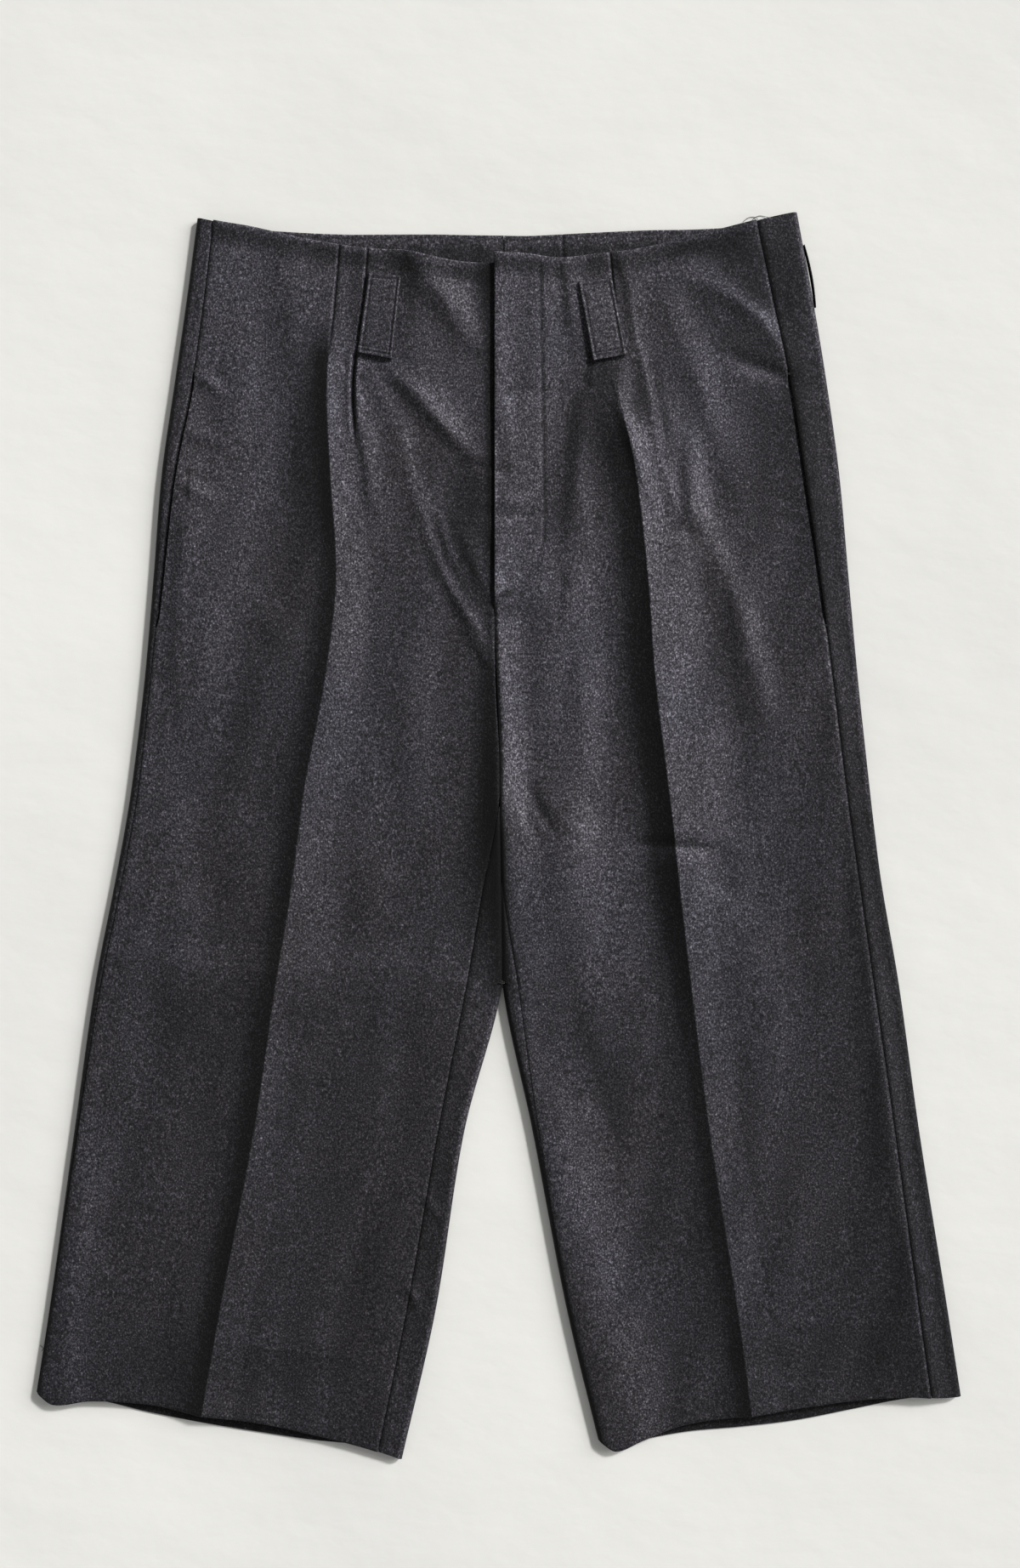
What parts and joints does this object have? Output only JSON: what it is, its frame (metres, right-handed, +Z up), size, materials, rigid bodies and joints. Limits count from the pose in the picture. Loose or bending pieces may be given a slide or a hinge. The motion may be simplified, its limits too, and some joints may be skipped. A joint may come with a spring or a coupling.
{
  "type": "wool trousers laid flat",
  "caption": "High-waisted, pleated, wide-leg cropped trousers in charcoal wool flannel, laid flat with the front up",
  "frame": {"origin": "centre of the bounding box, on the surface that the trousers lie on", "axes": "+Y towards the waist, +Z up through the front of the garment, +X towards the wearer's left leg"},
  "size_m": [0.5872, 0.7914, 0.0145],
  "materials": {
    "flannel": "brushed wool flannel with a soft nap",
    "facing": "wool flannel, plain inside face"
  },
  "bodies": {
    "root": {"front_left": "flannel", "front_right": "flannel", "back_left": "flannel", "back_right": "flannel", "waist_facing_left": "facing", "waist_facing_right": "facing", "pocket_bearer_left": "facing", "pocket_bearer_right": "facing", "belt_loop_front_left": "flannel", "belt_loop_front_right": "flannel", "belt_loop_back_left": "flannel"}
  },
  "joints": []
}
